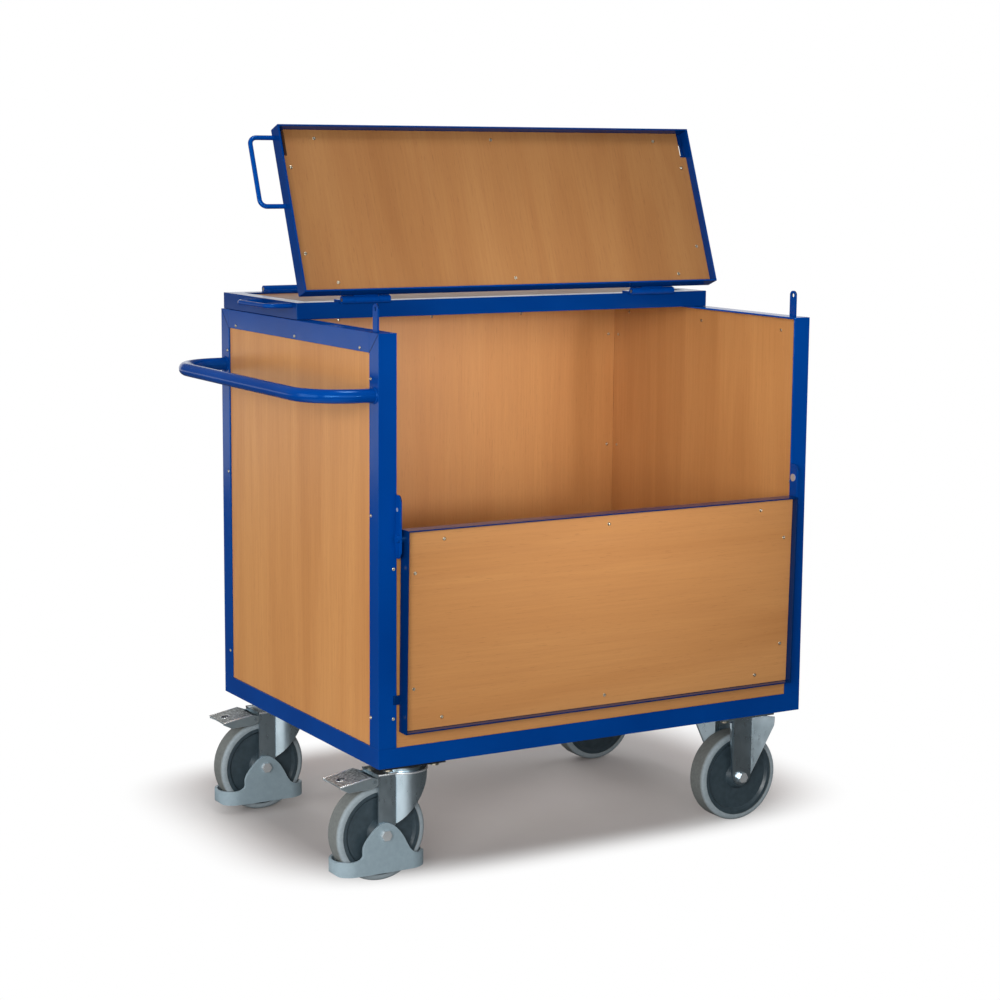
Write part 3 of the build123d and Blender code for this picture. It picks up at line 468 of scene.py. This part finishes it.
screw_head_radius = 0.0036
screw_head_height = 0.0016
screw_rim_height = 0.45 * screw_head_height
screw_shank_radius = 0.0020
screw_point_radius = 0.7 * screw_shank_radius
screw_end_height = 0.0010
screw_sides, screw_dome_steps = 32, 12
clinch_pit_radius = 0.2 * screw_head_radius
clinch_face_radius = 0.8 * screw_head_radius
clinch_corner_height = 0.4 * screw_end_height
recess_depth = 0.7 * screw_head_height
recess_half = 0.17 * screw_head_radius
recess_reach = 0.62 * screw_head_radius
recess_slope = 3.0
nearly_head = 0.98
nearly_end = 0.9


def islands(name):
    """The separate solids of a CAD piece, as lists of points."""
    mesh = bmesh.new()
    mesh.from_mesh(nodes[name].data)
    bmesh.ops.remove_doubles(mesh, verts=mesh.verts, dist=same_point)
    reached = set()
    found = []
    for start in mesh.verts:
        if start in reached:
            continue
        reached.add(start)
        group, border = [start], [start]
        while border:
            vert = border.pop()
            for link in vert.link_edges:
                other = link.other_vert(vert)
                if other not in reached:
                    reached.add(other)
                    group.append(other)
                    border.append(other)
        found.append([vert.co.copy() for vert in group])
    mesh.free()
    return found


def turned(mesh, frame_at, outline, sides):
    """Rings of a turned shape: outline is (radius, height) pairs from one end to the other."""
    rings = []
    for radius, height in outline:
        ring = []
        for k in range(sides):
            across, up = around(k, sides)
            ring.append(mesh.verts.new(frame_at @ Vector((radius * across, radius * up, height))))
        rings.append(ring)
    join_rings(mesh, zip(rings, rings[1:]), sides)
    return rings


def cross_share(x, y):
    """How deep the cross recess is at a point of the head, from 0 to 1."""
    arm = min(abs(x), abs(y))
    out = max(abs(x), abs(y))
    if arm > recess_half or out > recess_reach:
        return 0.0
    return min(1.0, recess_slope * (1.0 - out / recess_reach))


def domed_screw(mesh, seat, out, length, clinched):
    """A pan-head screw whose head stands out from its seat, clinched at the other end or plain."""
    frame_at = Matrix.Translation(seat) @ out.to_track_quat("Z", "Y").to_matrix().to_4x4()
    head, shank = screw_head_radius, screw_shank_radius
    end_top = -length + screw_end_height
    if clinched:
        outline = [
            (clinch_pit_radius, -length), (clinch_face_radius, -length),
            (head, -length + clinch_corner_height), (head, end_top), (shank, end_top),
        ]
    else:
        outline = [(screw_point_radius, -length), (shank, end_top)]
    outline += [(shank, 0.0), (head, 0.0)]
    dome = screw_head_height - screw_rim_height
    for step in range(screw_dome_steps):
        share = 1 - step / screw_dome_steps
        outline.append((head * share, screw_rim_height + dome * math.sqrt(1 - share * share)))
    rings = turned(mesh, frame_at, outline, screw_sides)
    back = frame_at.inverted()
    for ring in rings[-screw_dome_steps:]:
        for vert in ring:
            spot = back @ vert.co
            spot.z -= recess_depth * cross_share(spot.x, spot.y)
            vert.co = frame_at @ spot
    mesh.faces.new(rings[-1])
    mesh.faces.new(list(reversed(rings[0])))


for name in ("panel_screws", "front_lid_screws", "rear_lid_screws", "flap_screws"):
    mesh = bmesh.new()
    for points in islands(name):
        middle = sum(points, Vector()) / len(points)
        spread = numpy.cov(numpy.array([point - middle for point in points]).T)
        axis = Vector(numpy.linalg.eigh(spread)[1][:, 2])
        heights = [(point - middle).dot(axis) for point in points]
        low_end, high_end = min(heights), max(heights)
        wide = [
            height for point, height in zip(points, heights)
            if (point - middle - height * axis).length > screw_head_radius * nearly_head
        ]
        low_wide = max((height for height in wide if height < 0), default=low_end) - low_end
        high_wide = high_end - min((height for height in wide if height > 0), default=high_end)
        if low_wide > high_wide:
            axis, low_end, high_end = -axis, -high_end, -low_end
        seat = middle + axis * (high_end - screw_head_height)
        clinched = min(low_wide, high_wide) > screw_end_height * nearly_end
        domed_screw(mesh, seat, axis, high_end - screw_head_height - low_end, clinched)
    bmesh.ops.recalc_face_normals(mesh, faces=mesh.faces)
    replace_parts(put(mesh, name + "_domed", nodes[name]["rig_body"], look_of(name)), name)


# Rolled lips, pedal collars, weld beads and seams

def tube(mesh, points, radius, closed=False, sides=12):
    """A round bead along a line of points."""
    points = [Vector(point) for point in points]
    count = len(points)
    rings = []
    side = None
    for k in range(count):
        before = points[k - 1] if k or closed else points[k]
        after = points[(k + 1) % count] if k + 1 < count or closed else points[k]
        way = (after - before).normalized()
        if side is None:
            side = way.orthogonal().normalized()
        side = (side - way * side.dot(way)).normalized()
        other = way.cross(side)
        ring = []
        for n in range(sides):
            across, up = around(n, sides)
            ring.append(mesh.verts.new(points[k] + radius * (across * side + up * other)))
        rings.append(ring)
    pairs = list(zip(rings, rings[1:]))
    if closed:
        pairs.append((rings[-1], rings[0]))
    else:
        mesh.faces.new(rings[0])
        mesh.faces.new(rings[-1])
    join_rings(mesh, pairs, sides)
    bmesh.ops.recalc_face_normals(mesh, faces=mesh.faces)


def circle(middle, first_way, second_way, radius, count=48):
    """Points of a circle in the plane of two directions."""
    points = []
    for k in range(count):
        across, up = around(k, count)
        points.append(Vector(middle) + radius * (across * Vector(first_way) + up * Vector(second_way)))
    return points


# Lengths along the castor are from its swivel axis, heights from the floor
along_y, along_z = (0, 1, 0), (0, 0, 1)
fork_half = 0.036
fork_back = 0.073
cup_radius = 0.050
cup_steps = 40
crown_top = 0.225
fork_lip_radius, fork_lip_drop = 0.0022, 0.0012
pedal_half = 0.0393
pedal_root, pedal_root_z = 0.092, 0.224
pedal_tip, pedal_tip_z = 0.160, 0.2122
pedal_lip_radius, pedal_lip_drop = 0.0018, 0.0010
pedal_eye, pedal_eye_radius = 0.140, 0.008
eye_lip_radius = 0.0008
collar_rings, collar_step = 6, 0.0013
collar_inset = 0.0004
collar_bead_radius = 0.7 * collar_step
for hand in ("front", "rear"):
    fork_low, fork_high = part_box(f"castor_fork_{hand}_left")
    axis_x = fork_high[0] - cup_radius
    axis_y = (fork_low[1] + fork_high[1]) / 2

    # The rolled lip's pale zinc partly paints the highlight along it
    lip = bmesh.new()
    lip_z = crown_top - fork_lip_drop
    sweep = math.pi - math.asin(fork_half / cup_radius)
    rim = [(axis_x - fork_back, axis_y - fork_half, lip_z)]
    for k in range(cup_steps + 1):
        angle = -sweep + 2 * sweep * k / cup_steps
        rim.append((axis_x + cup_radius * math.cos(angle), axis_y + cup_radius * math.sin(angle), lip_z))
    rim.append((axis_x - fork_back, axis_y + fork_half, lip_z))
    tube(lip, rim, fork_lip_radius)
    put(lip, f"fork_lip_{hand}_left", f"castor_{hand}_left", pale_highlight_zinc)

    # The pedal lips and eye ring in pale zinc partly paint their highlight
    lips = bmesh.new()
    for side in (-1, 1):
        lip_y = axis_y + side * pedal_half
        tube(lips, [
            (axis_x - pedal_root, lip_y, pedal_root_z - pedal_lip_drop),
            (axis_x - pedal_tip, lip_y, pedal_tip_z - pedal_lip_drop),
        ], pedal_lip_radius)
    slope = Vector((pedal_root - pedal_tip, 0, pedal_tip_z - pedal_root_z)).normalized()
    eye_z = pedal_root_z + (pedal_eye - pedal_root) * slope.z / -slope.x
    eye_middle = Vector((axis_x - pedal_eye, axis_y, eye_z))
    tube(lips, circle(eye_middle, slope, along_y, pedal_eye_radius + eye_lip_radius), eye_lip_radius, True)
    put(lips, f"pedal_lip_{hand}_left", f"pedal_{hand}_left", pale_highlight_zinc)

    # The collar's dark zinc is painted shade seen through the pedal's eye
    collar = bmesh.new()
    down = slope.cross(Vector(along_y))
    for k in range(collar_rings):
        ring_middle = eye_middle + k * collar_step * down
        ring = circle(ring_middle, slope, along_y, pedal_eye_radius - collar_inset)
        tube(collar, ring, collar_bead_radius, True)
    put(collar, f"pedal_collar_{hand}_left", f"pedal_{hand}_left", shaded_race_zinc)

left_low, left_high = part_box("post_front_left")
handle_low, handle_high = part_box("push_handle")
face_x = left_low[0]
handle_z = (handle_low[2] + handle_high[2]) / 2
handle_radius = (handle_high[2] - handle_low[2]) / 2
bead_radius, bead_gap, bead_proud = 0.0024, 0.0010, 0.0004
beads = bmesh.new()
for leg_y in (handle_low[1] + handle_radius, handle_high[1] - handle_radius):
    bead_middle = (face_x - bead_proud, leg_y, handle_z)
    tube(beads, circle(bead_middle, along_y, along_z, handle_radius + bead_gap), bead_radius, True)
put(beads, "weld_beads", "chassis", paint)

top_z = left_high[2]
rear_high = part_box("post_rear_left")[1]
leg = left_high[1] - left_low[1]
seam_radius, seam_sunk, seam_start = 0.0012, 0.0007, 0.0015
# The seams' dark paint is painted shade in the mitre grooves
seams = bmesh.new()
for corner_y, inward in ((left_low[1], 1), (rear_high[1], -1)):
    tube(seams, [
        (face_x + seam_sunk, corner_y + inward * seam_start, top_z - seam_start),
        (face_x + seam_sunk, corner_y + inward * leg, top_z - leg),
    ], seam_radius)
put(seams, "mitre_seams", "chassis", seam_shaded_paint)


# Stage, light and camera

def aim(thing, target):
    """Point a light at a target."""
    thing.rotation_mode = "QUATERNION"
    thing.rotation_quaternion = (Vector(target) - thing.location).to_track_quat("-Z", "Y")


def softbox(name, place, target, width, height, power, mirrored=True):
    """A rectangular light; one that isn't mirrored doesn't show in shiny pieces."""
    lamp = bpy.data.lights.new(name, "AREA")
    lamp.shape = "RECTANGLE"
    lamp.size, lamp.size_y = width, height
    lamp.energy = power
    box = bpy.data.objects.new(name, lamp)
    box.location = place
    box.visible_glossy = mirrored
    aim(box, target)
    scene.collection.objects.link(box)


softbox("top_light", (0.0, -1.0, 5.4), (0, 0, 0.2), 1.6, 1.6, 105)
softbox("front_light", (-0.9, -5.2, 1.5), (0, 0, 0.7), 3.0, 2.2, 60)
softbox("side_light", (-5.2, -0.4, 1.4), (0, 0, 0.6), 3.8, 3.0, 130)
softbox("corner_light", (-3.5, -4.1, 1.7), (0.2, 0.1, 0.8), 2.4, 2.0, 168)
softbox("back_light", (1.0, 5.4, 1.9), (0, 0, 0.6), 3.8, 3.0, 150, False)
softbox("right_light", (5.4, 0.8, 1.7), (0, 0, 0.6), 3.8, 3.0, 130, False)

for name, place, target, cone, power in (
    ("back_wall_light", (0.9, -4.8, 1.5), (-0.02, 0.38, 0.92), 13, 680),
    ("right_wall_light", (-3.2, -4.2, 1.6), (0.56, 0.12, 0.92), 10, 290),
):
    lamp = bpy.data.lights.new(name, "SPOT")
    lamp.energy = power
    lamp.spot_size = math.radians(cone)
    lamp.spot_blend = 1.0
    lamp.shadow_soft_size = 0.35
    spot = bpy.data.objects.new(name, lamp)
    spot.location = place
    aim(spot, target)
    scene.collection.objects.link(spot)

floor_mesh = bpy.data.meshes.new("studio_floor")
floor_rings, floor_sides = 24, 96
floor_reach, floor_growth, floor_drop = 60.0, 3, 0.0004
sheet = bmesh.new()
loops = []
for ring in range(1, floor_rings + 1):
    radius = floor_reach * (ring / floor_rings) ** floor_growth
    loop = []
    for k in range(floor_sides):
        across, up = around(k, floor_sides)
        loop.append(sheet.verts.new((radius * across, radius * up, 0)))
    loops.append(loop)
sheet.faces.new(loops[0])
join_rings(sheet, zip(loops[1:], loops), floor_sides)
sheet.to_mesh(floor_mesh)
sheet.free()
studio_floor = bpy.data.objects.new("studio_floor", floor_mesh)
studio_floor.location.z = -floor_drop
scene.collection.objects.link(studio_floor)

ground = Shade("studio_floor")
# The floor's darker grey inside the patch is painted shadow
shadow_floor_dark, shadow_floor_light = linear(205, 200, 199), linear(209, 205, 203)
shadow_floor_tone = ground.ramp(ground.noise(3, 3), (0.3, shadow_floor_dark), (0.7, shadow_floor_light))
ground_dull = ground.ramp(ground.noise(9, 3), (0.3, 0.85), (0.7, 0.95))
ground_skin = ground.bump(ground.noise(200, 2), 0.0002, 0.2)
ground.finish(shadow_floor_tone, ground_dull, ground_skin, 0.0, 0.1)
spread = ground.tree.nodes.new("ShaderNodeSeparateXYZ")
ground.link(ground.places.outputs["Object"], spread.inputs["Vector"])


def soft_patch(middle, half, inner, outer):
    """0 inside a rounded rectangle of the floor and 1 outside it, with a soft border."""
    roundness = 4.0
    powers = []
    for axis, centre, size in zip("XY", middle, half):
        offset = ground.maths("DIVIDE", ground.maths("SUBTRACT", spread.outputs[axis], centre), size)
        powers.append(ground.maths("POWER", ground.maths("ABSOLUTE", offset), roundness))
    node = ground.tree.nodes.new("ShaderNodeMapRange")
    node.interpolation_type = "SMOOTHSTEP"
    node.inputs["From Min"].default_value = inner
    node.inputs["From Max"].default_value = outer
    ground.link(ground.maths("POWER", ground.maths("ADD", *powers), 1 / roundness), node.inputs["Value"])
    return node.outputs["Result"]


# Seen directly, the floor inside a patch round the trolley is a darker grey, painted shadow on top of the
# real shadow, and fades to white outside it
shadow_edge = soft_patch(middle=(0.113, 0.178), half=(0.912, 0.66), inner=0.61, outer=0.88)
seen_floor = ground.choose(shadow_edge, ground.shader.outputs["BSDF"], ground.glow(1.0))

# Light bounces off a darker grey
bounce_grey = 0.20
bounce = ground.tree.nodes.new("ShaderNodeBsdfDiffuse")
bounce.inputs["Color"].default_value = (bounce_grey, bounce_grey, bounce_grey, 1.0)
floor_look = ground.choose(ground.ray("Is Camera Ray"), bounce.outputs["BSDF"], seen_floor)

# Shiny pieces mirror a dim floor with two lit patches
dim_floor, patch_inner, patch_outer = 0.07, 0.68, 1.16
mirror_floor = ground.glow(dim_floor)
for strength, middle, half in (
    (0.11, (0.0, -0.70), (0.50, 1.10)),
    (0.95, (-1.27, -1.0), (0.93, 1.30)),
):
    patch_edge = soft_patch(middle, half, patch_inner, patch_outer)
    mirror_floor = ground.choose(patch_edge, ground.glow(strength), mirror_floor)
ground.surface(ground.choose(ground.ray("Is Glossy Ray"), floor_look, mirror_floor))
floor_mesh.materials.append(ground.material)

# Bright cards that only shiny pieces see
card = Shade("reflected_card")
card_clear = card.tree.nodes.new("ShaderNodeBsdfTransparent")
card.surface(card.choose(card.ray("Is Glossy Ray"), card_clear.outputs["BSDF"], card.glow(1.0)))
for name, place, turned_by, width, low_edge, high_edge in (
    ("back_card", (3.2, 7.0, 0.0), -30, 12.0, 0.0, 3.2),
    ("left_card", (-2.9, 4.4, 0.0), 30, 5.0, 0.06, 0.75),
):
    card_mesh = bpy.data.meshes.new(name)
    half = width / 2
    corners = [(-half, 0, low_edge), (half, 0, low_edge), (half, 0, high_edge), (-half, 0, high_edge)]
    card_mesh.from_pydata(corners, [], [(0, 1, 2, 3)])
    card_mesh.materials.append(card.material)
    mirror_card = bpy.data.objects.new(name, card_mesh)
    mirror_card.location = place
    mirror_card.rotation_euler.z = math.radians(turned_by)
    scene.collection.objects.link(mirror_card)

world = bpy.data.worlds.new("studio")
world.use_nodes = True
scene.world = world
sky = world.node_tree
sky_rays = sky.nodes.new("ShaderNodeLightPath")


def sky_level(strength):
    node = sky.nodes.new("ShaderNodeBackground")
    node.inputs["Color"].default_value = (1.0, 1.0, 1.0, 1.0)
    node.inputs["Strength"].default_value = strength
    return node.outputs["Background"]


def sky_choice(ray, otherwise, chosen):
    node = sky.nodes.new("ShaderNodeMixShader")
    sky.links.new(sky_rays.outputs[ray], node.inputs["Fac"])
    sky.links.new(otherwise, node.inputs[1])
    sky.links.new(chosen, node.inputs[2])
    return node.outputs["Shader"]


sky.nodes.remove(sky.nodes["Background"])
room_light, mirrored_room, backdrop = 0.22, 0.16, 1.0
sky_end = sky_choice("Is Glossy Ray", sky_level(room_light), sky_level(mirrored_room))
sky_end = sky_choice("Is Camera Ray", sky_end, sky_level(backdrop))
sky.links.new(sky_end, sky.nodes["World Output"].inputs["Surface"])

eye = Vector((-2.46064, -4.29244, 1.47713))
turn, rise, lean = math.radians(-30.1986), math.radians(8.7997), math.radians(0.4457)
back = Vector((math.sin(turn) * math.cos(rise), -math.cos(turn) * math.cos(rise), math.sin(rise)))
level = Vector((math.cos(turn), math.sin(turn), 0.0))
upright = back.cross(level)
right = level * math.cos(lean) + upright * math.sin(lean)
up = back.cross(right)
lens = bpy.data.cameras.new("camera")
lens.lens = 82.499
lens.sensor_width = 36.0
lens.clip_end = 200.0
camera = bpy.data.objects.new("camera", lens)
camera.matrix_world = Matrix((
    (right.x, up.x, back.x, eye.x),
    (right.y, up.y, back.y, eye.y),
    (right.z, up.z, back.z, eye.z),
    (0, 0, 0, 1),
))
scene.collection.objects.link(camera)
scene.camera = camera

scene.view_settings.view_transform = "Standard"
